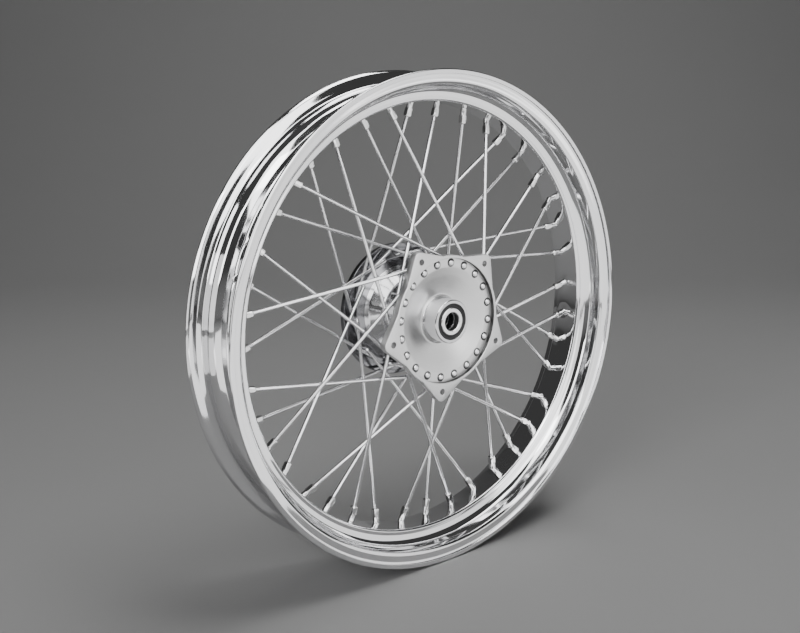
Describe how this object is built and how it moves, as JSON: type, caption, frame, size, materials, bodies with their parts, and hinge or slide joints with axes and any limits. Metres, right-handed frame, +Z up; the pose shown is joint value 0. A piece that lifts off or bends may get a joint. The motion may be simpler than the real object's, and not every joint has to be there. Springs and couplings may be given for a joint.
{
  "type": "spoked motorcycle wheel",
  "caption": "Wire-spoked front wheel with a chromed drop-centre rim, laced spokes and a hub whose lobed flange carries a brake disc.",
  "frame": {"origin": "on the axle line in the rim's centre plane, which is the middle of the wheel's box to within 2.3 mm along Y", "axes": "+Z up, Y along the axle with the brake-disc flange towards -Y, X forwards"},
  "size_m": [0.513, 0.0965, 0.513],
  "materials": {
    "chrome_rim": "polished chrome plate on steel",
    "hub_aluminium": "satin machined flange face, bright polished barrel",
    "spoke_plating": "bright plated steel wire and nipples",
    "seal_rubber": "smooth moulded black rubber",
    "collar_steel": "turned and ground bright steel",
    "bearing_steel": "ground bearing steel"
  },
  "bodies": {
    "axle_set": {"axle_collar_near": "collar_steel", "axle_collar_far": "collar_steel", "bearing_inner_race_near": "bearing_steel", "bearing_inner_race_far": "bearing_steel", "spacer_tube": "bearing_steel"},
    "wheel": {"rim": "chrome_rim", "hub": "hub_aluminium", "spoke_near_01": "spoke_plating", "spoke_near_02": "spoke_plating", "spoke_near_03": "spoke_plating", "spoke_near_04": "spoke_plating", "spoke_near_05": "spoke_plating", "spoke_near_06": "spoke_plating", "spoke_near_07": "spoke_plating", "spoke_near_08": "spoke_plating", "spoke_near_09": "spoke_plating", "spoke_near_10": "spoke_plating", "spoke_near_11": "spoke_plating", "spoke_near_12": "spoke_plating", "spoke_near_13": "spoke_plating", "spoke_near_14": "spoke_plating", "spoke_near_15": "spoke_plating", "spoke_near_16": "spoke_plating", "spoke_near_17": "spoke_plating", "spoke_near_18": "spoke_plating", "spoke_near_19": "spoke_plating", "spoke_near_20": "spoke_plating", "spoke_far_01": "spoke_plating", "spoke_far_02": "spoke_plating", "spoke_far_03": "spoke_plating", "spoke_far_04": "spoke_plating", "spoke_far_05": "spoke_plating", "spoke_far_06": "spoke_plating", "spoke_far_07": "spoke_plating", "spoke_far_08": "spoke_plating", "spoke_far_09": "spoke_plating", "spoke_far_10": "spoke_plating", "spoke_far_11": "spoke_plating", "spoke_far_12": "spoke_plating", "spoke_far_13": "spoke_plating", "spoke_far_14": "spoke_plating", "spoke_far_15": "spoke_plating", "spoke_far_16": "spoke_plating", "spoke_far_17": "spoke_plating", "spoke_far_18": "spoke_plating", "spoke_far_19": "spoke_plating", "spoke_far_20": "spoke_plating", "bearing_outer_race_near": "bearing_steel", "bearing_outer_race_far": "bearing_steel", "seal_near": "seal_rubber", "seal_far": "seal_rubber", "bearing_retaining_ring_near": "bearing_steel", "bearing_retaining_ring_far": "bearing_steel"},
    "cage_near": {"ball_cage_near": "bearing_steel"},
    "cage_far": {"ball_cage_far": "bearing_steel"}
  },
  "joints": [
    {"name": "wheel_spin", "type": "hinge", "parent": "axle_set", "child": "wheel", "pos_m": [0, 0, 0], "axis": [0, 1, 0], "continuous": true},
    {"name": "cage_near_spin", "type": "hinge", "parent": "axle_set", "child": "cage_near", "pos_m": [0, -0.0334, 0], "axis": [0, 1, 0], "continuous": true},
    {"name": "cage_far_spin", "type": "hinge", "parent": "axle_set", "child": "cage_far", "pos_m": [0, 0.0379, 0], "axis": [0, 1, 0], "continuous": true}
  ],
  "couplings": [
    {"joint": "cage_near_spin", "follows": "wheel_spin", "ratio": 0.5877},
    {"joint": "cage_far_spin", "follows": "wheel_spin", "ratio": 0.5877}
  ]
}
